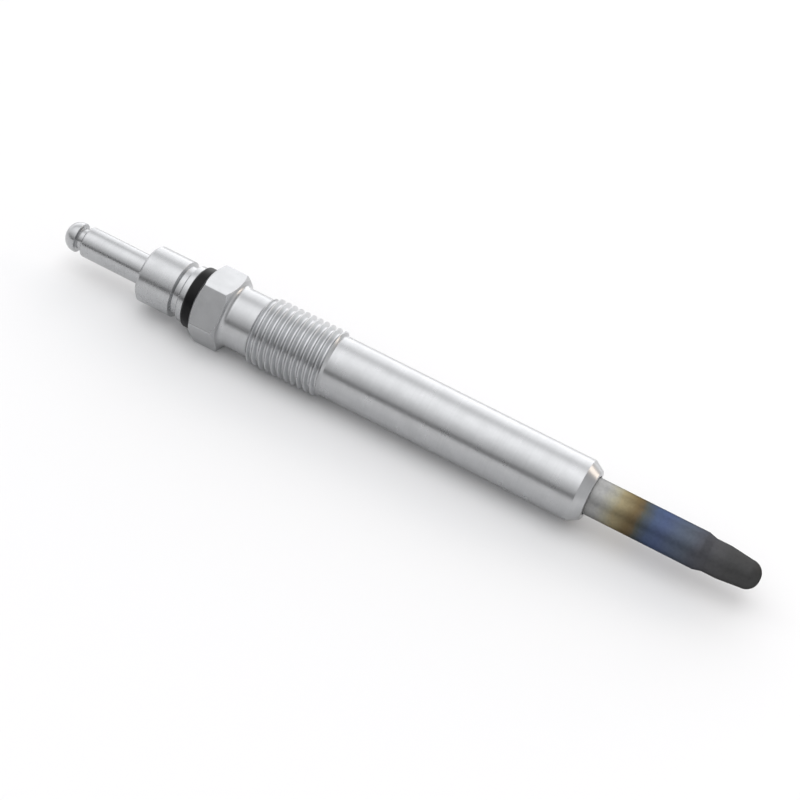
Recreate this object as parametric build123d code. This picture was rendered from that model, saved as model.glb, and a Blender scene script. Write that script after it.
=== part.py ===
from build123d import *
import os
from math import cos, degrees, pi, radians, sin, tan

# Sheathed diesel glow plug for an M10 x 1 hole, lying on its side.
# Millimetres. +X runs along the axis towards the glowing tip, +Z is up.
# X = 0 is the plane where the sealing cone leaves the shank, so it is what the engine locates.
# A flat of the hexagon faces down.

# Shell: sealing cone and nose
seat_angle = 63.0  # included angle of the sealing cone
seat_length = 1.5
nose_rounding = 0.25
nose_gap = 0.2  # open ring between the nose and the glow tube, radially
nose_gap_depth = 2.5

# Shell: shank, thread and neck
shank_dia = 8.85
shank_length = 37.2
thread_dia = 9.8  # major diameter of M10 x 1 near its lower limit
thread_pitch = 1.0
thread_angle = 60.0  # between the two flanks of the groove
thread_length = 11.6
thread_lead_in = 45.0  # angle of the bevels at both ends of the thread, from the axis
thread_groove_start = 309.6  # where the groove begins, turned about the axis from the top
neck_dia = 8.7
neck_length = 3.95
neck_rounding = 0.95

# Shell: hexagon
hexagon_across_flats = 10.0
hexagon_length = 4.9
hexagon_bevel = 30.0  # angle of the bevels at both ends, from the end face
hexagon_face_dia = 9.0

# Shell: bore
seal_chamber_dia = 6.2
seal_chamber_depth = 7.0
tube_clearance = 0.15  # bore to tube behind the gripping stretch, radially
press_length = 18.0  # stretch of bore that grips the glow tube
press_start = 1.0  # from the seat plane back to the gripping stretch

# Glow tube
tube_dia = 5.3
tube_wall = 0.5
tube_inside_length = 22.0  # from the seat plane back to the tube's open end
tube_reach = 17.2  # from the seat plane to the swaged step
swage_length = 1.15
swage_rounding = 0.6
tip_dia = 4.7
tip_land = 2.1
taper_length = 3.2
taper_end_dia = 3.98
tip_flat_dia = 0.28

# Heater filling
coil_dia = 2.0  # to the middle of the wire
coil_wire_dia = 0.36
regulating_pitch = 0.6
heating_pitch = 1.05
heating_length = 11.3
coil_gap = 0.02  # room around the coils and at their weld
seal_inset = 0.3
heater_seal_length = 2.7

# Terminal stud
stud_dia = 4.0
stud_engagement = 6.0  # length inside the terminal
stud_drill_space = 0.4
stud_step_back = 1.5  # the thick part ends this far behind the tube
stud_shank_dia = 2.5
stud_shank_length = 14.5
stud_nose_length = 2.5

# Insulating washer and double gasket
washer_dia = 8.95
washer_thickness = 1.5
washer_rounding = 0.4
spigot_length = 2.0
insulation_gap = 0.05  # washer to stud and spigot to bore, radially
gasket_length = 4.6
gasket_waist = 0.35  # depth of the hollow between its two lips
gasket_lip_length = 1.3

# Terminal
band_length = 0.85
groove_length = 1.3
groove_depth = 0.6
groove_floor = 0.25
groove_wall_lean = 0.1
groove_foot_rounding = 0.6  # where its floor turns into the sloping side
groove_brow_rounding = 1.0  # where the sloping side meets the band
collar_dia = 8.3
collar_length = 5.4
collar_bevel = 0.35
edge_rounding = 0.1
pin_dia = 4.45
pin_length = 10.65
shoulder_rounding = 0.5
pin_neck_dia = 3.06
pin_neck_length = 0.65
head_dia = 4.3
head_rim = 0.3
head_flat_dia = 0.7

# Places along the axis, worked out from the sealing cone backwards
shank_rear = -shank_length
thread_rear = shank_rear - thread_length
neck_rear = thread_rear - neck_length
hexagon_rear = neck_rear - hexagon_length
washer_rear = hexagon_rear - washer_thickness
band_rear = washer_rear - band_length
groove_rear = band_rear - groove_length
collar_rear = groove_rear - collar_length
pin_rear = collar_rear - pin_length
head_front = pin_rear - pin_neck_length
head_dome = head_front - head_rim
head_top = head_dome - (head_dia - head_flat_dia) / 2

# Places along the axis, worked out from the sealing cone forwards
swage_end = tube_reach + swage_length
taper_start = swage_end + tip_land
taper_end = taper_start + taper_length
tip_top = taper_end + (taper_end_dia - tip_flat_dia) / 2

# Places inside the glow tube
tube_rear = -tube_inside_length
stud_step = tube_rear - stud_step_back
stud_shank_end = stud_step + stud_shank_length
stud_nose_end = stud_shank_end + stud_nose_length
seal_rear = tube_rear + seal_inset
seal_front = seal_rear + heater_seal_length
coil_rear = stud_shank_end + coil_wire_dia / 2 + coil_gap
coil_front = taper_end - coil_wire_dia / 2 - coil_gap
coil_joint = coil_front - heating_length
coil_inner_dia = coil_dia - coil_wire_dia
coil_outer_dia = coil_dia + coil_wire_dia

shortest_edge = 0.001


def rounded_corner(before, corner, after, radius):
    """Tangent arc at a corner, as its start, middle and end."""
    back = (before - corner).normalized()
    ahead = (after - corner).normalized()
    half = radians(back.get_angle(ahead)) / 2
    run = radius / tan(half)
    inward = (back + ahead).normalized() * (radius / sin(half) - radius)
    return corner + back * run, corner + inward, corner + ahead * run


def turned(corners):
    """Solid turned about the X axis; each corner is x, diameter and an optional rounding."""
    points = [Vector(corner[0], corner[1] / 2) for corner in corners]
    roundings = [corner[2] if len(corner) > 2 else 0 for corner in corners]
    arcs = []
    for i, point in enumerate(points):
        if roundings[i]:
            arcs.append(rounded_corner(points[i - 1], point, points[i + 1], roundings[i]))
        else:
            arcs.append((point, point, point))
    edges = [ThreePointArc(*arc) for arc in arcs if arc[0] != arc[2]]
    for this, following in zip(arcs, arcs[1:] + arcs[:1]):
        if (following[0] - this[2]).length > shortest_edge:
            edges.append(Line(this[2], following[0]))
    return revolve(make_face(Wire(edges)), Axis.X)


def hexagon_waste():
    """Everything outside the hexagon's flats, over the hexagon's length."""
    waste_dia = 2 * hexagon_across_flats
    overrun = 1.0
    length = neck_rear - hexagon_rear + overrun
    start = Plane(origin=(hexagon_rear - overrun, 0, 0), x_dir=(0, 1, 0), z_dir=(1, 0, 0))
    disc = start * Circle(waste_dia / 2)
    flats = start * RegularPolygon(hexagon_across_flats / 2, 6, major_radius=False)
    return extrude(disc - flats, length)


def shell_bore():
    """Stepped hole through the shell, from the hexagon to the nose."""
    overrun = 1.0
    chamber_end = hexagon_rear + seal_chamber_depth
    clearance_bore_dia = tube_dia + 2 * tube_clearance
    press_rear = -press_start - press_length
    gap_rear = seat_length - nose_gap_depth
    gap_dia = tube_dia + 2 * nose_gap
    return turned([
        (hexagon_rear - overrun, 0),
        (hexagon_rear - overrun, seal_chamber_dia),
        (chamber_end, seal_chamber_dia),
        (chamber_end, clearance_bore_dia),
        (press_rear, clearance_bore_dia),
        (press_rear, tube_dia),
        (gap_rear, tube_dia),
        (gap_rear, gap_dia),
        (seat_length + overrun, gap_dia),
        (seat_length + overrun, 0),
    ])


def thread_groove():
    """Groove of the right-hand thread, one turn after another, from the neck to the shank."""
    lean = tan(radians(thread_angle / 2))
    root_width = thread_pitch / 4
    depth = thread_pitch * 5 / 16 / lean  # leaves a crest of an eighth of the pitch
    overrun = 0.05
    rim_width = root_width + 2 * (depth + overrun) * lean
    start = thread_rear - thread_pitch / 2
    turn = Rot(X=thread_groove_start) * Helix(
        thread_pitch, thread_pitch, thread_dia / 2 - depth, center=(start, 0, 0), direction=(1, 0, 0))
    floor = turn @ 0
    section = Plane(origin=floor, x_dir=(1, 0, 0), z_dir=(0, -floor.Z, floor.Y)) * make_face(Polyline(
        (-root_width / 2, 0), (root_width / 2, 0),
        (rim_width / 2, depth + overrun), (-rim_width / 2, depth + overrun), close=True))
    cut = sweep(section, path=turn, is_frenet=True)
    turns = int((thread_length + thread_pitch / 2) / thread_pitch)
    return [Pos(X=thread_pitch * number) * cut for number in range(turns)]


def shell():
    """Steel body: hexagon, neck, thread, shank and sealing cone."""
    blank_dia = 1.05 * hexagon_across_flats / cos(pi / 6)
    rear_bevel = (blank_dia - hexagon_face_dia) / 2 * tan(radians(hexagon_bevel))
    front_bevel = (blank_dia - neck_dia) / 2 * tan(radians(hexagon_bevel))
    rear_lead = (thread_dia - neck_dia) / 2 / tan(radians(thread_lead_in))
    front_lead = (thread_dia - shank_dia) / 2 / tan(radians(thread_lead_in))
    nose_dia = shank_dia - 2 * seat_length * tan(radians(seat_angle / 2))
    body = turned([
        (hexagon_rear, 0),
        (hexagon_rear, hexagon_face_dia),
        (hexagon_rear + rear_bevel, blank_dia),
        (neck_rear - front_bevel, blank_dia),
        (neck_rear, neck_dia, neck_rounding),
        (thread_rear, neck_dia),
        (thread_rear + rear_lead, thread_dia),
        (shank_rear - front_lead, thread_dia),
        (shank_rear, shank_dia),
        (0, shank_dia),
        (seat_length, nose_dia, nose_rounding),
        (seat_length, 0),
    ])
    for cut in thread_groove():
        body -= cut
    return body - hexagon_waste() - shell_bore()


def tube_cavity():
    """Space inside the glow tube, from its open end to its closed tip."""
    bore_dia = tube_dia - 2 * tube_wall
    tip_bore_dia = tip_dia - 2 * tube_wall
    end_bore_dia = taper_end_dia - 2 * tube_wall
    return turned([
        (tube_rear, 0),
        (tube_rear, bore_dia),
        (tube_reach, bore_dia),
        (swage_end, tip_bore_dia),
        (taper_start, tip_bore_dia),
        (taper_end, end_bore_dia),
        (taper_end, 0),
    ])


def glow_tube():
    """Heat-resistant tube, swaged down towards its closed, domed tip."""
    dome_rounding = (taper_end_dia - tip_flat_dia) / 2
    body = turned([
        (tube_rear, 0),
        (tube_rear, tube_dia),
        (tube_reach, tube_dia, swage_rounding),
        (swage_end, tip_dia, swage_rounding),
        (taper_start, tip_dia),
        (taper_end, taper_end_dia),
        (tip_top, taper_end_dia, dome_rounding),
        (tip_top, 0),
    ])
    return body - tube_cavity()


def filling_powder():
    """Insulating powder pressed into the tube, with a ring-shaped channel that holds the coils."""
    overrun = 1.0
    behind = turned([
        (tube_rear - overrun, 0),
        (tube_rear - overrun, tube_dia),
        (seal_front, tube_dia),
        (seal_front, 0),
    ])
    channel = turned([
        (tube_rear, 0),
        (tube_rear, stud_shank_dia),
        (stud_shank_end, stud_shank_dia),
        (stud_shank_end, coil_outer_dia + 2 * coil_gap),
        (taper_end, coil_outer_dia + 2 * coil_gap),
        (taper_end, 0),
    ])
    core = turned([
        (stud_nose_end, 0),
        (stud_nose_end, coil_inner_dia - 2 * coil_gap),
        (taper_end, coil_inner_dia - 2 * coil_gap),
        (taper_end, 0),
    ])
    sleeve = tube_cavity() - behind - channel
    return Compound(sleeve.solids() + core.solids())


def coil(start, end, pitch):
    """Wire wound about the axis between two places."""
    path = Helix(pitch, end - start, coil_dia / 2, center=(start, 0, 0), direction=(1, 0, 0))
    section = Plane(origin=path @ 0, z_dir=path % 0) * Circle(coil_wire_dia / 2)
    return sweep(section, path=path, is_frenet=True)


def regulating_coil():
    """Rear coil, whose resistance rises with heat; its first turns grip the stud's nose."""
    return coil(coil_rear, coil_joint, regulating_pitch)


def heating_coil():
    """Front coil, welded end to end to the rear one; it reaches the tube's closed tip."""
    turns_before = (coil_joint - coil_rear) / regulating_pitch
    weld_angle = degrees(coil_gap / (coil_dia / 2))
    return Rot(X=360 * turns_before + weld_angle) * coil(coil_joint, coil_front, heating_pitch)


def heater_seal():
    """Ring that closes the open end of the glow tube around the stud."""
    return turned([
        (seal_rear, stud_shank_dia),
        (seal_rear, tube_dia - 2 * tube_wall),
        (seal_front, tube_dia - 2 * tube_wall),
        (seal_front, stud_shank_dia),
    ])


def terminal_stud():
    """Steel rod that carries the current from the terminal to the coils."""
    return turned([
        (washer_rear - stud_engagement, 0),
        (washer_rear - stud_engagement, stud_dia),
        (stud_step, stud_dia),
        (stud_step, stud_shank_dia),
        (stud_shank_end, stud_shank_dia),
        (stud_shank_end, coil_inner_dia - 2 * coil_gap),
        (stud_nose_end, coil_inner_dia - 2 * coil_gap),
        (stud_nose_end, 0),
    ])


def insulating_washer():
    """Black washer between terminal and shell, with a spigot that centres it in the bore."""
    hole_dia = stud_dia + 2 * insulation_gap
    spigot_dia = seal_chamber_dia - 2 * insulation_gap
    return turned([
        (washer_rear, hole_dia),
        (washer_rear, washer_dia, washer_rounding),
        (hexagon_rear, washer_dia),
        (hexagon_rear, spigot_dia),
        (hexagon_rear + spigot_length, spigot_dia),
        (hexagon_rear + spigot_length, hole_dia),
    ])


def double_gasket():
    """Rubber ring with two outer lips, squeezed between the stud and the bore."""
    rear = hexagon_rear + spigot_length
    front = rear + gasket_length
    waist_dia = seal_chamber_dia - 2 * gasket_waist
    return turned([
        (rear, stud_dia),
        (rear, seal_chamber_dia),
        (rear + gasket_lip_length, seal_chamber_dia),
        (rear + gasket_lip_length + gasket_waist, waist_dia),
        (front - gasket_lip_length - gasket_waist, waist_dia),
        (front - gasket_lip_length, seal_chamber_dia),
        (front, seal_chamber_dia),
        (front, stud_dia),
    ])


def terminal():
    """One turned piece: headed pin, collar, groove with one sloping side, and a blind hole."""
    groove_dia = collar_dia - 2 * groove_depth
    hole_end = washer_rear - stud_engagement - stud_drill_space
    body = turned([
        (washer_rear, 0),
        (washer_rear, collar_dia, edge_rounding),
        (band_rear, collar_dia, groove_brow_rounding),
        (groove_rear + groove_wall_lean + groove_floor, groove_dia, groove_foot_rounding),
        (groove_rear + groove_wall_lean, groove_dia),
        (groove_rear, collar_dia, edge_rounding),
        (collar_rear + collar_bevel, collar_dia),
        (collar_rear, collar_dia - 2 * collar_bevel),
        (collar_rear, pin_dia),
        (pin_rear, pin_dia, shoulder_rounding),
        (pin_rear, pin_neck_dia),
        (head_front, pin_neck_dia),
        (head_front, head_dia, edge_rounding),
        (head_top, head_dia, (head_dia - head_flat_dia) / 2),
        (head_top, 0),
    ])
    hole = turned([
        (washer_rear, 0),
        (washer_rear, stud_dia),
        (hole_end, stud_dia),
        (hole_end, 0),
    ])
    return body - hole


pieces = {
    "shell": shell,
    "glow_tube": glow_tube,
    "filling_powder": filling_powder,
    "heating_coil": heating_coil,
    "regulating_coil": regulating_coil,
    "heater_seal": heater_seal,
    "terminal_stud": terminal_stud,
    "double_gasket": double_gasket,
    "insulating_washer": insulating_washer,
    "terminal": terminal,
}

os.makedirs("parts", exist_ok=True)
for name, make in pieces.items():
    export_step(make(), f"parts/{name}.step")
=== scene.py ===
import bmesh
import bpy
import numpy as np
from math import ceil, cos, pi, radians, sin, sqrt, tan
from mathutils import Matrix, Vector


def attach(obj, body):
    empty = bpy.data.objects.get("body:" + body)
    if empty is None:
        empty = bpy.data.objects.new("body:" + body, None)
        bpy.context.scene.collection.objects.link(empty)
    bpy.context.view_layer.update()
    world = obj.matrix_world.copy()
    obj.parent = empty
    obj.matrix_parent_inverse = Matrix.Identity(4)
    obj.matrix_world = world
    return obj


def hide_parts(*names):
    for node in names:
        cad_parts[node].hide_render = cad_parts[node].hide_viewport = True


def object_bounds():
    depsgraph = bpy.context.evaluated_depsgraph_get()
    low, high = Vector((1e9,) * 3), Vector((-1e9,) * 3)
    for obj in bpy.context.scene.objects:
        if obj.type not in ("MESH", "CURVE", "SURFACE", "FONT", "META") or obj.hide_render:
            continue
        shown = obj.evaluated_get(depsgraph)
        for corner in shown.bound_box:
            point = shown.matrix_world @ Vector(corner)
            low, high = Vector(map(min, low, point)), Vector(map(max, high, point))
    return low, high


# Dressed model of a sheathed diesel glow plug. Sizes below are in millimetres, meshes are in metres.
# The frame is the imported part's: the axis is X, X = 0 is the sealing cone's start, +Z is up.

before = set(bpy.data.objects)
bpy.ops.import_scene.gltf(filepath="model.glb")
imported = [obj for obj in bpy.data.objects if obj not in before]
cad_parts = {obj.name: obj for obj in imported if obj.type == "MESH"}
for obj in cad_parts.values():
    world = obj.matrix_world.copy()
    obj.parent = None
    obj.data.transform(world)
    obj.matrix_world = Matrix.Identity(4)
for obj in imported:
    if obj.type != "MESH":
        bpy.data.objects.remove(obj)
cad_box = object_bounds()
MM = 0.001

# Places along the axis
head_top = -80.1
head_front = -78.0
pin_rear = -77.0
collar_rear = -66.7
stud_hole_end = -65.55
groove_rear = -61.3
band_rear = -60.0
washer_rear = -59.15
hexagon_rear = -57.65
spigot_end = -55.65
neck_rear = -52.75
chamber_end = -50.65
thread_rear = -48.8
shank_rear = -37.2
tube_rear = -22.0
press_rear = -19.0
gap_ring_rear = -1.0
nose = 1.5
swage_start = 17.2
swage_end = 18.35
taper_start = 20.45
taper_end = 23.65
tip_top = 25.5

# Lengths along the axis
collar_bevel = 0.35
groove_lean = 0.27  # taken up by the groove's rear wall
groove_rise = 0.25  # taken up by its short front side

# Slopes
hexagon_bevel = tan(radians(30))
seat_slope = tan(radians(31.5))  # a seat of 63 degrees
thread_lead_in = tan(radians(45))
thread_runout = 0.25
flank_slope = tan(radians(30))  # half of the thread's 60 degrees

# Radii
hexagon_flat = 5.0
hexagon_face = 4.5
neck = 4.35
thread_crest = 4.9
shank = 4.425
nose_face = shank - nose * seat_slope
gap_ring = 2.85
clearance_bore = 2.8
seal_chamber = 3.1
tube = 2.65
tube_wall = 0.5
tip = 2.35
taper = 1.99
tip_flat = 0.17
washer = 4.475
washer_play = 0.05
stud = 2.0
collar = 4.15
groove_floor = 3.6
pin = 2.225
pin_neck = 1.53
head = 2.15
head_flat = 0.35

# Thread
thread_pitch = 1.0
thread_turns = ceil((shank_rear - thread_rear) / thread_pitch) + 1  # one more than its length holds
thread_root = 0.39  # middle of the groove's floor, in pitches from the thread's rear end
first_root = thread_root - 1.0  # one pitch earlier, where the winding is counted from

# Roundings of corners, from a broken edge to a fillet
press_edge = 0.02
fine_edge = 0.03
thread_edge = 0.035
inner_edge = 0.05
light_edge = 0.06
turned_edge = 0.08
corner_break = 0.09
soft_edge = 0.1
band_edge = 0.15
nose_edge = 0.25
pin_edge = 0.4
washer_edge = 0.4
taper_start_bend = 0.4
taper_end_bend = 0.25
swage_bend = 0.6
neck_fillet = 0.95

# Mesh fineness
steps_round = 144
corners = 6
corner_pull = 0.8  # draws the columns of the shell towards the hexagon's corners
thread_rows = 32  # rows in one pitch of the thread
arc_steps = 9  # steps that an arc of 1 mm radius has past the two of every arc
on_axis = 1e-9  # a point with a smaller radius lies on the axis
seam_gap = 0.001  # widest gap that is closed where a mesh meets itself


class Wiring:
    """Adds and joins the nodes of one tree."""

    def __init__(self, tree):
        self.tree = tree

    def put(self, socket, value):
        if isinstance(value, bpy.types.NodeSocket):
            self.tree.links.new(value, socket)
        else:
            socket.default_value = value

    def node(self, kind, inputs=None, **settings):
        made = self.tree.nodes.new(kind)
        for key, value in settings.items():
            setattr(made, key, value)
        for key, value in (inputs or {}).items():
            self.put(made.inputs[key], value)
        return made

    def calc(self, operation, *values):
        made = self.tree.nodes.new("ShaderNodeMath")
        made.operation = operation
        for socket, value in zip(made.inputs, values):
            self.put(socket, value)
        return made.outputs[0]

    def weighted(self, first, first_share, second, second_share):
        """Sum of two values, each times its share."""
        return self.calc("ADD", self.calc("MULTIPLY", first, first_share),
                         self.calc("MULTIPLY", second, second_share))

    def swing(self, noise, width):
        """Noise from 0 to 1 turned into a swing of this width about zero."""
        return self.calc("MULTIPLY", self.calc("SUBTRACT", noise, 0.5), width)

    def scaled(self, vector, factor):
        return self.node("ShaderNodeVectorMath", {0: vector, "Scale": factor}, operation="SCALE").outputs[0]

    def rescale(self, value, from_low, from_high, to_low, to_high, smooth=False):
        return self.node(
            "ShaderNodeMapRange",
            {"Value": value, "From Min": from_low, "From Max": from_high,
             "To Min": to_low, "To Max": to_high},
            interpolation_type="SMOOTHSTEP" if smooth else "LINEAR",
        ).outputs["Result"]

    def blend(self, share, first, second):
        """Mix of two colours; a mix node has its colours on inputs 6 and 7 and output 2."""
        made = self.node("ShaderNodeMix", data_type="RGBA")
        self.put(made.inputs["Factor"], share)
        self.put(made.inputs[6], first)
        self.put(made.inputs[7], second)
        return made.outputs[2]

    def ramp(self, value, stops, interpolation="LINEAR"):
        made = self.node("ShaderNodeValToRGB", {"Fac": value})
        made.color_ramp.interpolation = interpolation
        elements = made.color_ramp.elements
        while len(elements) < len(stops):
            elements.new(0.5)
        for element, (place, colour) in zip(elements, stops):
            element.position = place
            element.color = (*colour, 1)
        return made.outputs["Color"]


# Turned shapes

def rounded(outline):
    """Points of an outline in the turning plane, one row per point; a corner is x, radius and rounding."""
    width = max(np.size(value) for corner in outline for value in corner[:2])
    places = [np.stack([np.broadcast_to(np.asarray(value, float), width) for value in corner[:2]], 1)
              for corner in outline]
    rows = []
    for i, place in enumerate(places):
        size = outline[i][2] if len(outline[i]) > 2 else 0
        if not size:
            rows.append(place)
            continue
        back = places[i - 1] - place
        ahead = places[(i + 1) % len(places)] - place
        back /= np.linalg.norm(back, axis=1)[:, None]
        ahead /= np.linalg.norm(ahead, axis=1)[:, None]
        half = np.arccos(np.clip((back * ahead).sum(1), -1, 1))[:, None] / 2
        inward = back + ahead
        inward /= np.linalg.norm(inward, axis=1)[:, None]
        centre = place + inward * size / np.sin(half)
        start = place + back * size / np.tan(half) - centre
        end = place + ahead * size / np.tan(half) - centre
        sweep = pi - 2 * half
        steps = int(2 + arc_steps * sqrt(size))
        for step in range(steps + 1):
            share = step / steps
            arm = (np.sin((1 - share) * sweep) * start + np.sin(share * sweep) * end) / np.sin(sweep)
            rows.append(centre + arm)
    return np.array(rows)


def round_angles(pull=0.0):
    """Angle of each column about the axis, drawn towards the hexagon's corners by pull."""
    turn = np.arange(steps_round) / steps_round * 2 * pi
    return turn - pull / corners * np.sin(corners * turn)


def swept(rows, angles, closed=False):
    """Points and faces of an outline turned about the axis; a row on the axis becomes one point."""
    columns = len(angles)
    rows = np.broadcast_to(rows, (len(rows), columns, 2))
    points, numbers = [], []
    for row in rows:
        if np.all(row[:, 1] < on_axis):
            numbers.append(np.full(columns, len(points)))
            points.append((row[0, 0], 0.0, 0.0))
        else:
            numbers.append(np.arange(columns) + len(points))
            points.extend(zip(row[:, 0], row[:, 1] * np.cos(angles), row[:, 1] * np.sin(angles)))
    following = numbers[1:] + (numbers[:1] if closed else [])
    faces = []
    for this, after in zip(numbers, following):
        for j in range(columns):
            k = (j + 1) % columns
            face = dict.fromkeys([this[j], this[k], after[k], after[j]])
            faces.append([int(number) for number in face])
    return np.array(points) * MM, faces


def face_vectors(points, faces):
    """Corners of each face, four to a face, and its area vector."""
    four = np.array([face if len(face) == 4 else [*face, face[-1]] for face in faces])
    first, second, third, fourth = (points[four[:, corner]] for corner in range(4))
    return four, np.cross(third - first, fourth - second) / 2


def finished_mesh(name, parts):
    """One closed mesh from several lots of points and faces, shaded by the larger faces at every edge."""
    shape = bmesh.new()
    for points, faces in parts:
        made = [shape.verts.new(point) for point in points]
        for face in faces:
            shape.faces.new([made[number] for number in face])
    bmesh.ops.remove_doubles(shape, verts=shape.verts, dist=seam_gap * MM)
    bmesh.ops.recalc_face_normals(shape, faces=shape.faces)
    if shape.calc_volume(signed=True) < 0:
        bmesh.ops.reverse_faces(shape, faces=shape.faces)
    mesh = bpy.data.meshes.new(name)
    shape.to_mesh(mesh)
    shape.free()
    for polygon in mesh.polygons:
        polygon.use_smooth = True
    points = np.array([vertex.co for vertex in mesh.vertices])
    four, vectors = face_vectors(points, [list(polygon.vertices) for polygon in mesh.polygons])
    normals = np.zeros_like(points)
    for corner in range(4):
        np.add.at(normals, four[:, corner], vectors)
    normals /= np.maximum(np.linalg.norm(normals, axis=1), 1e-30)[:, None]  # never divides by zero
    mesh.normals_split_custom_set_from_vertices(normals)
    return mesh


def add_piece(name, parts, material, node):
    """One finished piece, which replaces a node of the frame."""
    mesh = finished_mesh(name, parts)
    piece = bpy.data.objects.new(name, mesh)
    bpy.context.scene.collection.objects.link(piece)
    mesh.materials.append(material)
    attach(piece, "root")
    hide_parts(node)


# Thread, wound by a node tree

def thread_tree(material):
    """Node tree that winds a right-hand thread about the X axis and fades it out at both ends."""
    tree = bpy.data.node_groups.new("Wound thread", "GeometryNodeTree")
    tree.interface.new_socket("Geometry", in_out="OUTPUT", socket_type="NodeSocketGeometry")
    for name, kind in (
        ("Start", "Float"), ("End", "Float"), ("Pitch", "Float"), ("Crest radius", "Float"),
        ("Rear radius", "Float"), ("Front radius", "Float"), ("Lead-in slope", "Float"),
        ("Run-out slope", "Float"), ("Edge rounding", "Float"), ("Root offset", "Float"),
        ("Corner pull", "Float"), ("Steps round", "Int"), ("Rows per pitch", "Int"), ("Turns", "Int"),
    ):
        tree.interface.new_socket(name, in_out="INPUT", socket_type="NodeSocket" + kind)
    wiring = Wiring(tree)
    calc = wiring.calc
    size = tree.nodes.new("NodeGroupInput").outputs

    # A flat sheet, one column for each angle and one row for each step of the pitch
    columns = calc("ADD", size["Steps round"], 1.0)
    rows = calc("MULTIPLY_ADD", calc("ADD", size["Turns"], 1.0), size["Rows per pitch"], 1.0)
    sheet = wiring.node("GeometryNodeMeshGrid", {"Size X": 1.0, "Size Y": 1.0,
                                                 "Vertices X": columns, "Vertices Y": rows})
    position = wiring.node("GeometryNodeInputPosition").outputs[0]
    place = wiring.node("ShaderNodeSeparateXYZ", {"Vector": position})
    across = calc("ADD", place.outputs["X"], 0.5)
    upwards = calc("ADD", place.outputs["Y"], 0.5)

    # Its columns' angles, and its rows' places along the winding
    turn = calc("MULTIPLY", across, 2 * pi)
    ripple = calc("SINE", calc("MULTIPLY", turn, corners))
    lean = calc("MULTIPLY", ripple, calc("DIVIDE", size["Corner pull"], corners))
    angle = calc("SUBTRACT", turn, lean)
    row = calc("ROUND", calc("MULTIPLY", upwards, calc("SUBTRACT", rows, 1.0)))
    pitches = calc("SUBTRACT", calc("DIVIDE", row, size["Rows per pitch"]), 1.0)
    turns = calc("ADD", pitches, calc("DIVIDE", angle, 2 * pi))
    wound = calc("MULTIPLY_ADD", turns, size["Pitch"], calc("ADD", size["Start"], size["Root offset"]))
    along = calc("MINIMUM", calc("MAXIMUM", wound, size["Start"]), size["End"])

    # Basic profile: crest an eighth and root a quarter of the pitch, flanks at 60 degrees
    from_crest = calc("ABSOLUTE", calc("SUBTRACT", calc("FRACT", calc("ADD", pitches, 1.0)), 0.5))
    past_crest = calc("MULTIPLY", calc("SUBTRACT", from_crest, 1 / 16), size["Pitch"])
    drop = calc("MULTIPLY", past_crest, 1 / flank_slope)
    depth = calc("MULTIPLY", size["Pitch"], 5 / 16 / flank_slope)
    root = calc("SUBTRACT", size["Crest radius"], depth)
    flank = calc("SUBTRACT", size["Crest radius"], drop)
    profile = calc("SMOOTH_MIN", flank, size["Crest radius"], size["Edge rounding"])
    profile = calc("SMOOTH_MAX", profile, root, size["Edge rounding"])

    # Ends: the grooves grow shallow towards the shank, and a cone cuts the crests at either end
    left = calc("SUBTRACT", size["End"], along)
    shallow = calc("SUBTRACT", size["Front radius"], calc("MULTIPLY", left, size["Run-out slope"]))
    profile = calc("MAXIMUM", profile, shallow)
    passed = calc("SUBTRACT", along, size["Start"])
    rear_cone = calc("MULTIPLY_ADD", passed, size["Lead-in slope"], size["Rear radius"])
    front_cone = calc("MULTIPLY_ADD", left, size["Lead-in slope"], size["Front radius"])
    radius = calc("MINIMUM", profile, calc("MINIMUM", rear_cone, front_cone))

    spot = wiring.node("ShaderNodeCombineXYZ", {
        "X": along,
        "Y": calc("MULTIPLY", radius, calc("COSINE", angle)),
        "Z": calc("MULTIPLY", radius, calc("SINE", angle)),
    })
    wound_sheet = wiring.node("GeometryNodeSetPosition", {"Geometry": sheet.outputs["Mesh"],
                                                          "Position": spot.outputs[0]})
    closed = wiring.node("GeometryNodeMergeByDistance", {"Geometry": wound_sheet.outputs[0],
                                                         "Distance": seam_gap})
    real = wiring.node("GeometryNodeRealizeInstances", {"Geometry": closed.outputs[0]})
    finished = wiring.node("GeometryNodeSetMaterial", {"Geometry": real.outputs[0], "Material": material})
    wiring.put(tree.nodes.new("NodeGroupOutput").inputs["Geometry"], finished.outputs[0])
    return tree


def made_by_nodes(tree, sizes):
    """Points and faces that a node tree gives for these sizes."""
    holder = bpy.data.objects.new("holder", bpy.data.meshes.new("holder"))
    bpy.context.scene.collection.objects.link(holder)
    modifier = holder.modifiers.new("nodes", "NODES")
    modifier.node_group = tree
    for item in tree.interface.items_tree:
        if item.in_out == "INPUT":
            modifier[item.identifier] = sizes[item.name]
    bpy.context.view_layer.update()
    graph = bpy.context.evaluated_depsgraph_get()
    mesh = bpy.data.meshes.new_from_object(holder.evaluated_get(graph))
    points = np.array([vertex.co for vertex in mesh.vertices]) * MM
    faces = [list(polygon.vertices) for polygon in mesh.polygons]
    bpy.data.objects.remove(holder)
    bpy.data.meshes.remove(mesh)
    return points, faces


# Finishes

noise_range = (0.3, 0.7)  # holds most of the values of a noise
full_range = (0, 1)


def new_finish(name):
    """A material with its wiring, its shader and the place on the plug in millimetres."""
    material = bpy.data.materials.new(name)
    material.use_nodes = True
    wiring = Wiring(material.node_tree)
    shader = material.node_tree.nodes["Principled BSDF"]
    coordinates = wiring.node("ShaderNodeTexCoord").outputs["Object"]
    return material, wiring, shader, wiring.scaled(coordinates, 1 / MM)


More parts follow.
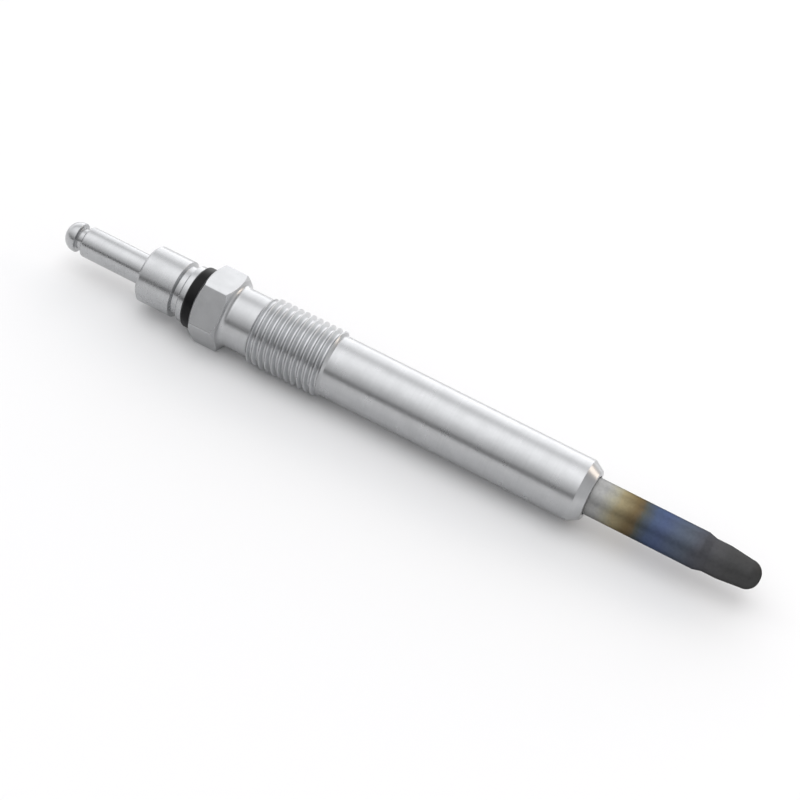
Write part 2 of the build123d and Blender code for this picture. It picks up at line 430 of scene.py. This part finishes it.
def speckle(wiring, place, per_mm, detail=3.0, roughness=0.5, stretch=(1, 1, 1)):
    """Noise with so many features to the millimetre, optionally drawn out."""
    vector = wiring.node("ShaderNodeVectorMath", {0: place, 1: stretch}, operation="MULTIPLY").outputs[0]
    return wiring.node("ShaderNodeTexNoise", {"Vector": vector, "Scale": per_mm, "Detail": detail,
                                              "Roughness": roughness}).outputs[0]


def rings(wiring, along, per_mm, detail=3.0):
    """Turning marks: noise that changes along the axis only."""
    return wiring.node("ShaderNodeTexNoise", {"W": along, "Scale": per_mm, "Detail": detail,
                                              "Roughness": 0.6}, noise_dimensions="1D").outputs[0]


def raise_surface(wiring, shader, height, depth):
    """Bump of this depth in millimetres."""
    bump = wiring.node("ShaderNodeBump", {"Height": height, "Strength": 1.0, "Distance": depth * MM})
    wiring.put(shader.inputs["Normal"], bump.outputs[0])


def frost_and_sheen_flanks(wiring, along, turn):
    """1 on the thread's flanks that face the tip and 0 elsewhere; there the plating paints a highlight and
    adds a little roughness.
    """
    calc = wiring.calc
    flank_start, flank_full = 0.54, 0.60  # parts of a pitch
    flank_fading, flank_end = 0.84, 0.90
    bare_end = 0.4  # length at either end of the thread
    pitches = calc("DIVIDE", calc("SUBTRACT", along, thread_rear), thread_pitch)
    phase = calc("FRACT", calc("SUBTRACT", pitches, calc("ADD", turn, first_root)))
    frost_and_sheen = calc("MULTIPLY", wiring.rescale(phase, flank_start, flank_full, 0, 1, smooth=True),
                   wiring.rescale(phase, flank_fading, flank_end, 1, 0, smooth=True))
    threaded = calc("MULTIPLY", calc("GREATER_THAN", along, thread_rear + bare_end),
                    calc("LESS_THAN", along, shank_rear - bare_end))
    return calc("MULTIPLY", frost_and_sheen, threaded)


def plating(name, dull, bright, rough_low, rough_high):
    """Satin nickel plate over turned steel; the hexagon's flats keep the drawn bar's lines."""
    material, wiring, shader, place = new_finish(name)
    calc = wiring.calc
    spot = wiring.node("ShaderNodeSeparateXYZ", {"Vector": place}).outputs
    along = spot["X"]
    turn = calc("DIVIDE", calc("ARCTAN2", spot["Z"], spot["Y"]), 2 * pi)
    cloud = speckle(wiring, place, per_mm=0.45)
    flats_reach = 2.0  # either way from the hexagon's middle
    from_middle = calc("ABSOLUTE", calc("SUBTRACT", along, (hexagon_rear + neck_rear) / 2))
    on_hexagon = calc("LESS_THAN", from_middle, flats_reach)
    turned = calc("SUBTRACT", 1.0, on_hexagon)

    # Fine and broad marks of turning, drawn lines on the flats, and the plate's grain
    fine = rings(wiring, along, per_mm=11.0)
    broad = rings(wiring, along, per_mm=1.6, detail=2.0)
    drawn = speckle(wiring, place, per_mm=9.0, detail=2.0, stretch=(0.06, 1, 1))
    grain = speckle(wiring, place, per_mm=16.0, detail=2.0)
    marks = wiring.weighted(fine, 0.7, broad, 0.5)
    marks = wiring.weighted(marks, turned, drawn, on_hexagon)
    grain_share = 0.12
    height = calc("ADD", marks, calc("MULTIPLY", grain, grain_share))
    raise_surface(wiring, shader, height, depth=0.002)

    # Painted highlight: the flanks that face the tip get a lighter colour that stands in for the light they
    # catch, and a little more roughness; the flats are paler
    frost_and_sheen = frost_and_sheen_flanks(wiring, along, turn)
    # Lightening of the tip-facing flanks, a painted highlight
    painted_sheen_lift = 0.42
    flats_lift = 0.12
    lift = calc("MULTIPLY_ADD", on_hexagon, flats_lift, 1.0)
    lift = calc("ADD", lift, calc("MULTIPLY", frost_and_sheen, painted_sheen_lift))

    # Faint tone changes: bands left by turning, and a mottle in the plate
    bands = calc("MULTIPLY", wiring.swing(rings(wiring, along, per_mm=3.0), 0.10), turned)
    mottle = wiring.swing(speckle(wiring, place, per_mm=2.5), 0.08)
    lift = calc("ADD", lift, calc("ADD", bands, mottle))
    colour = wiring.blend(wiring.rescale(cloud, 0.35, 0.65, *full_range), dull, bright)
    wiring.put(shader.inputs["Base Color"], wiring.scaled(colour, lift))
    shader.inputs["Metallic"].default_value = 1.0

    # Clouded roughness, a little more on broad marks and frost and less on the flats
    broad_rough = 0.03
    frost_rough = 0.03
    flats_rough = -0.06
    rough = wiring.rescale(cloud, *noise_range, rough_high, rough_low)
    rough = calc("ADD", rough, calc("MULTIPLY", broad, broad_rough))
    rough = calc("MULTIPLY_ADD", frost_and_sheen, frost_rough, rough)
    rough = calc("MULTIPLY_ADD", on_hexagon, flats_rough, rough)
    wiring.put(shader.inputs["Roughness"], rough)
    return material


def tinted_alloy():
    """Heat-resistant alloy, tinted by its own heat: grey, straw, bronze, blue, slate and a dark tip."""
    material, wiring, shader, place = new_finish("heat_tinted_alloy")
    calc = wiring.calc
    along = wiring.node("ShaderNodeSeparateXYZ", {"Vector": place}).outputs["X"]

    # Tints by distance from the sealing cone's start, with wavering, ragged borders
    tints = [
        (0.0, (0.323, 0.323, 0.323)), (3.0, (0.316, 0.316, 0.31)), (4.4, (0.305, 0.292, 0.229)),
        (5.4, (0.266, 0.228, 0.139)), (6.5, (0.195, 0.16, 0.092)), (7.5, (0.139, 0.104, 0.055)),
        (8.3, (0.115, 0.089, 0.055)), (8.8, (0.081, 0.087, 0.08)), (9.3, (0.07, 0.084, 0.105)),
        (10.2, (0.066, 0.09, 0.153)), (11.7, (0.07, 0.092, 0.166)), (13.5, (0.08, 0.099, 0.142)),
        (15.5, (0.083, 0.096, 0.12)), (16.6, (0.08, 0.085, 0.102)), (17.4, (0.084, 0.086, 0.097)),
        (19.2, (0.089, 0.089, 0.093)), (21.2, (0.077, 0.077, 0.078)), (24.5, (0.071, 0.071, 0.071)),
        (26.0, (0.066, 0.066, 0.066)),
    ]
    last_tint = tints[-1][0]
    waver = wiring.swing(speckle(wiring, place, per_mm=0.55, detail=2.0), 1.3)
    edge = wiring.swing(speckle(wiring, place, per_mm=3.0, detail=4.0), 0.5)
    heat = wiring.rescale(calc("ADD", along, calc("ADD", waver, edge)), 0.0, last_tint, *full_range)
    colour = wiring.ramp(heat, [(distance / last_tint, tint) for distance, tint in tints])
    pale, deep = 1.12, 0.88
    mottle = wiring.rescale(speckle(wiring, place, per_mm=2.2, detail=4.0), *noise_range, deep, pale)
    wiring.put(shader.inputs["Base Color"], wiring.scaled(colour, mottle))
    shader.inputs["Metallic"].default_value = 1.0
    shader.inputs["Specular Tint"].default_value = (0.4, 0.4, 0.4, 1)

    # Scale from the swage on, rougher and more crusted
    scale = wiring.rescale(along, 15.5, 18.5, *full_range, smooth=True)
    rough = wiring.rescale(mottle, deep, pale, 0.44, 0.52)
    wiring.put(shader.inputs["Roughness"], calc("MULTIPLY_ADD", scale, 0.12, rough))
    marks = rings(wiring, along, per_mm=9.0)
    crust = speckle(wiring, place, per_mm=7.0, detail=5.0, roughness=0.65)
    height = wiring.weighted(marks, 0.25, crust, calc("MULTIPLY_ADD", scale, 1.6, 0.35))
    raise_surface(wiring, shader, height, depth=0.0022)
    return material


def moulded(name, dark, light, rough_low, rough_high, per_mm, depth, gloss=0.35):
    """Moulded or pressed matt stuff: plastic, rubber or powder."""
    material, wiring, shader, place = new_finish(name)
    cloud = wiring.rescale(speckle(wiring, place, per_mm / 6), *noise_range, *full_range)
    wiring.put(shader.inputs["Base Color"], wiring.blend(cloud, dark, light))
    wiring.put(shader.inputs["Roughness"], wiring.rescale(cloud, *full_range, rough_low, rough_high))
    shader.inputs["Specular IOR Level"].default_value = gloss
    raise_surface(wiring, shader, speckle(wiring, place, per_mm, detail=4.0, roughness=0.6), depth)
    return material


def drawn_metal(name, dull, bright, rough_low, rough_high):
    """Plain drawn steel or wire that stays inside the plug."""
    material, wiring, shader, place = new_finish(name)
    drawn = speckle(wiring, place, per_mm=12.0, stretch=(0.05, 1, 1))
    lines = wiring.rescale(drawn, *noise_range, *full_range)
    wiring.put(shader.inputs["Base Color"], wiring.blend(lines, dull, bright))
    shader.inputs["Metallic"].default_value = 1.0
    wiring.put(shader.inputs["Roughness"], wiring.rescale(lines, *full_range, rough_low, rough_high))
    raise_surface(wiring, shader, lines, depth=0.0008)
    return material


shell_plate = plating(
    "shell_nickel_plate", dull=(0.445, 0.451, 0.458, 1), bright=(0.475, 0.481, 0.489, 1),
    rough_low=0.255, rough_high=0.295)
terminal_plate = plating(
    "terminal_nickel_plate", dull=(0.435, 0.441, 0.448, 1), bright=(0.465, 0.471, 0.479, 1),
    rough_low=0.235, rough_high=0.275)
alloy = tinted_alloy()
black_plastic = moulded(
    "black_moulding", dark=(0.002, 0.002, 0.0022, 1), light=(0.004, 0.004, 0.0045, 1),
    rough_low=0.32, rough_high=0.42, per_mm=6.0, depth=0.003, gloss=0.17)
seal_rubber = moulded(
    "seal_rubber", dark=(0.02, 0.021, 0.022, 1), light=(0.035, 0.036, 0.038, 1),
    rough_low=0.6, rough_high=0.75, per_mm=5.0, depth=0.006)
powder = moulded(
    "pressed_powder", dark=(0.72, 0.70, 0.65, 1), light=(0.84, 0.82, 0.77, 1),
    rough_low=0.85, rough_high=0.95, per_mm=14.0, depth=0.012)
stud_steel = drawn_metal(
    "stud_steel", dull=(0.42, 0.42, 0.43, 1), bright=(0.52, 0.52, 0.53, 1), rough_low=0.3, rough_high=0.38)
coil_wire = drawn_metal(
    "coil_wire", dull=(0.30, 0.29, 0.28, 1), bright=(0.40, 0.39, 0.37, 1), rough_low=0.35, rough_high=0.43)


# Shell

def hexagon_outline(angles):
    """Radius of the hexagon at each angle, with its six corners rounded."""
    from_flat = (angles - pi / 6) % (pi / 3)
    from_flat = np.minimum(from_flat, pi / 3 - from_flat)
    to_corner = pi / 6 - from_flat
    sharp_corner = hexagon_flat / cos(pi / 6)
    arc_centre = sharp_corner - corner_break / sin(pi / 3)
    arc_reach = np.arctan2(corner_break * sin(pi / 6), arc_centre + corner_break * cos(pi / 6))
    across = arc_centre * np.sin(to_corner)
    on_arc = arc_centre * np.cos(to_corner) + np.sqrt(np.maximum(corner_break ** 2 - across ** 2, 0))
    return np.where(to_corner < arc_reach, on_arc, hexagon_flat / np.cos(from_flat))


angles = round_angles(corner_pull)
flats = hexagon_outline(angles)
rear_part = rounded([
    (chamber_end, seal_chamber),
    (hexagon_rear, seal_chamber, inner_edge),
    (hexagon_rear, hexagon_face, light_edge),
    (hexagon_rear + (flats - hexagon_face) * hexagon_bevel, flats, light_edge),
    (neck_rear - (flats - neck) * hexagon_bevel, flats, light_edge),
    (neck_rear, neck, neck_fillet),
    (thread_rear, neck),
])
front_part = rounded([
    (shank_rear, shank),
    (0, shank, turned_edge),
    (nose, nose_face, nose_edge),
    (nose, gap_ring, light_edge),
    (gap_ring_rear, gap_ring, fine_edge),
    (gap_ring_rear, tube, press_edge),
    (press_rear, tube),
    (press_rear, clearance_bore),
    (chamber_end, clearance_bore),
    (chamber_end, seal_chamber),
])
thread = made_by_nodes(thread_tree(shell_plate), {
    "Start": thread_rear, "End": shank_rear, "Pitch": thread_pitch, "Crest radius": thread_crest,
    "Rear radius": neck, "Front radius": shank, "Lead-in slope": thread_lead_in,
    "Run-out slope": thread_runout, "Edge rounding": thread_edge, "Root offset": first_root * thread_pitch,
    "Corner pull": corner_pull, "Steps round": steps_round, "Rows per pitch": thread_rows,
    "Turns": thread_turns,
})
add_piece("shell_with_thread", [swept(rear_part, angles), thread, swept(front_part, angles)],
          shell_plate, "shell")

# Glow tube
tube_outline = rounded([
    (tip_top, 0),
    (tip_top, taper, taper - tip_flat),
    (taper_end, taper, taper_end_bend),
    (taper_start, tip, taper_start_bend),
    (swage_end, tip, swage_bend),
    (swage_start, tube, swage_bend),
    (tube_rear, tube, soft_edge),
    (tube_rear, tube - tube_wall, inner_edge),
    (swage_start, tube - tube_wall),
    (swage_end, tip - tube_wall),
    (taper_start, tip - tube_wall),
    (taper_end, taper - tube_wall),
    (taper_end, 0),
])
add_piece("tinted_glow_tube", [swept(tube_outline, round_angles())], alloy, "glow_tube")

# Insulating washer
washer_outline = rounded([
    (washer_rear, stud + washer_play, inner_edge),
    (washer_rear, washer, washer_edge),
    (hexagon_rear, washer, inner_edge),
    (hexagon_rear, seal_chamber - washer_play, fine_edge),
    (spigot_end, seal_chamber - washer_play, soft_edge),
    (spigot_end, stud + washer_play, inner_edge),
])
add_piece("black_insulating_washer", [swept(washer_outline, round_angles(), closed=True)],
          black_plastic, "insulating_washer")

# Terminal
terminal_outline = rounded([
    (head_top, 0),
    (head_top, head, head - head_flat),
    (head_front, head, soft_edge),
    (head_front, pin_neck, light_edge),
    (pin_rear, pin_neck, soft_edge),
    (pin_rear, pin, pin_edge),
    (collar_rear, pin, turned_edge),
    (collar_rear, collar - collar_bevel, inner_edge),
    (collar_rear + collar_bevel, collar, soft_edge),
    (groove_rear, collar, turned_edge),
    (groove_rear + groove_lean, groove_floor, turned_edge),
    (band_rear - groove_rise, groove_floor, soft_edge),
    (band_rear, collar, band_edge),
    (washer_rear, collar, soft_edge),
    (washer_rear, stud, inner_edge),
    (stud_hole_end, stud),
    (stud_hole_end, 0),
])
add_piece("turned_terminal", [swept(terminal_outline, round_angles())],
          terminal_plate, "terminal")

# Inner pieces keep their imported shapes
for node, material in (
    ("terminal_stud", stud_steel), ("double_gasket", seal_rubber), ("heater_seal", seal_rubber),
    ("regulating_coil", coil_wire), ("heating_coil", coil_wire), ("filling_powder", powder),
):
    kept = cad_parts[node]
    kept.data.materials.clear()
    kept.data.materials.append(material)

# Floor, a wide sheet of matt paper in metres
floor_reach = 2.2
floor_level = cad_box[0][2]
floor_corners = [(-floor_reach, -floor_reach), (floor_reach, -floor_reach),
                 (floor_reach, floor_reach), (-floor_reach, floor_reach)]
floor_mesh = bpy.data.meshes.new("floor")
floor_mesh.from_pydata([(x, y, floor_level) for x, y in floor_corners], [], [(0, 1, 2, 3)])
floor = bpy.data.objects.new("floor", floor_mesh)
bpy.context.scene.collection.objects.link(floor)
paper, _, paper_shader, _ = new_finish("floor_paper")
paper_shader.inputs["Base Color"].default_value = (0.842, 0.842, 0.844, 1)
paper_shader.inputs["Roughness"].default_value = 0.9
paper_shader.inputs["Specular IOR Level"].default_value = 0.1
floor_mesh.materials.append(paper)

# Studio light: a bright sky that falls off towards the front and has one soft seam behind the top.
# Its stops are degrees round the axis, from the front horizon over the top to the rear one, and tones.
sky_stops = [
    (0, 0.03), (8, 0.045), (13, 0.27), (19, 0.66), (26, 0.77), (34, 0.89), (43, 1.07), (50, 1.28),
    (60, 1.54), (72, 1.72), (85, 1.84), (96, 1.74), (106, 1.48), (113, 1.16), (119, 1.02), (125, 1.08),
    (134, 1.45), (145, 1.82), (156, 2.00), (168, 2.22), (178, 2.60), (180, 2.50),
]
brightest = max(tone for _, tone in sky_stops)
sky_blue = 1.01
world = bpy.data.worlds.new("studio")
bpy.context.scene.world = world
world.use_nodes = True
sky = Wiring(world.node_tree)
way = sky.node("ShaderNodeSeparateXYZ", {"Vector": sky.node("ShaderNodeTexCoord").outputs["Generated"]})
round_axis = sky.calc("ARCTAN2", way.outputs["Z"], sky.calc("MULTIPLY", way.outputs["Y"], -1.0))
sky_colours = [(angle / 180, (tone / brightest, tone / brightest, tone / brightest * sky_blue))
               for angle, tone in sky_stops]
glow = sky.ramp(sky.calc("DIVIDE", round_axis, pi), sky_colours, "EASE")

# It brightens towards the tip's side, and the room's two ends are dimmer than the sky between them
aside = way.outputs["X"]
glow = sky.scaled(glow, sky.rescale(aside, -0.4, 0.2, 0.93, 1.12))
tip_end_stops = [(0.52, (0.14, 0.14, 0.142)), (0.75, (0.24, 0.24, 0.243)), (0.97, (0.36, 0.36, 0.363))]
tip_end = sky.ramp(aside, tip_end_stops)
glow = sky.blend(sky.rescale(aside, 0.23, 0.43, *full_range, smooth=True), glow, tip_end)
head_end = (0.2, 0.2, 0.203, 1)
glow = sky.blend(sky.rescale(aside, -0.55, -0.9, 0, 0.25, smooth=True), glow, head_end)
backdrop = world.node_tree.nodes["Background"]
sky.put(backdrop.inputs["Color"], glow)
backdrop.inputs["Strength"].default_value = brightest

# Small warm lamp beyond the tip, on the far side, placed in metres
warm = bpy.data.lights.new("warm_lamp", "AREA")
warm.shape = "DISK"
warm.size = 0.24
warm.energy = 0.38
warm.color = (1.0, 0.86, 0.73)
warm_lamp = bpy.data.objects.new("warm_lamp", warm)
bpy.context.scene.collection.objects.link(warm_lamp)
warm_way = Vector((0.584, 0.684, 0.438)).normalized()
warm_distance = 0.6
warm_lamp.location = warm_way * warm_distance
warm_lamp.rotation_mode = "QUATERNION"
warm_lamp.rotation_quaternion = warm_way.to_track_quat("Z", "Y")

# Camera at the photograph's viewing angle
view_height = radians(40.6)  # above the floor, seen along the axis
view_turn = radians(12.26)  # towards the tip
view_roll = radians(26.78)
view_distance = 253.72
view_centre = -27.1
view_drop = 0.14
axis = Vector((1, 0, 0))
nearer = Vector((0, -cos(view_height), sin(view_height)))
lower = Vector((0, -sin(view_height), -cos(view_height)))
ahead = -sin(view_turn) * axis - cos(view_turn) * nearer
rightward = (cos(view_turn) * cos(view_roll) * axis - sin(view_roll) * lower
             - sin(view_turn) * cos(view_roll) * nearer)
downward = (cos(view_turn) * sin(view_roll) * axis + cos(view_roll) * lower
            - sin(view_turn) * sin(view_roll) * nearer)
lens = bpy.data.cameras.new("camera")
lens.lens = 85.5
lens.sensor_width = 36
lens.clip_start = 0.01
lens.clip_end = 10
camera = bpy.data.objects.new("camera", lens)
bpy.context.scene.collection.objects.link(camera)
standpoint = Vector((view_centre, 0, 0)) - view_distance * ahead + view_drop * lower
camera.matrix_world = (Matrix.Translation(standpoint * MM)
                       @ Matrix((rightward, -downward, -ahead)).transposed().to_4x4())
bpy.context.scene.camera = camera
bpy.context.scene.view_settings.view_transform = "Standard"
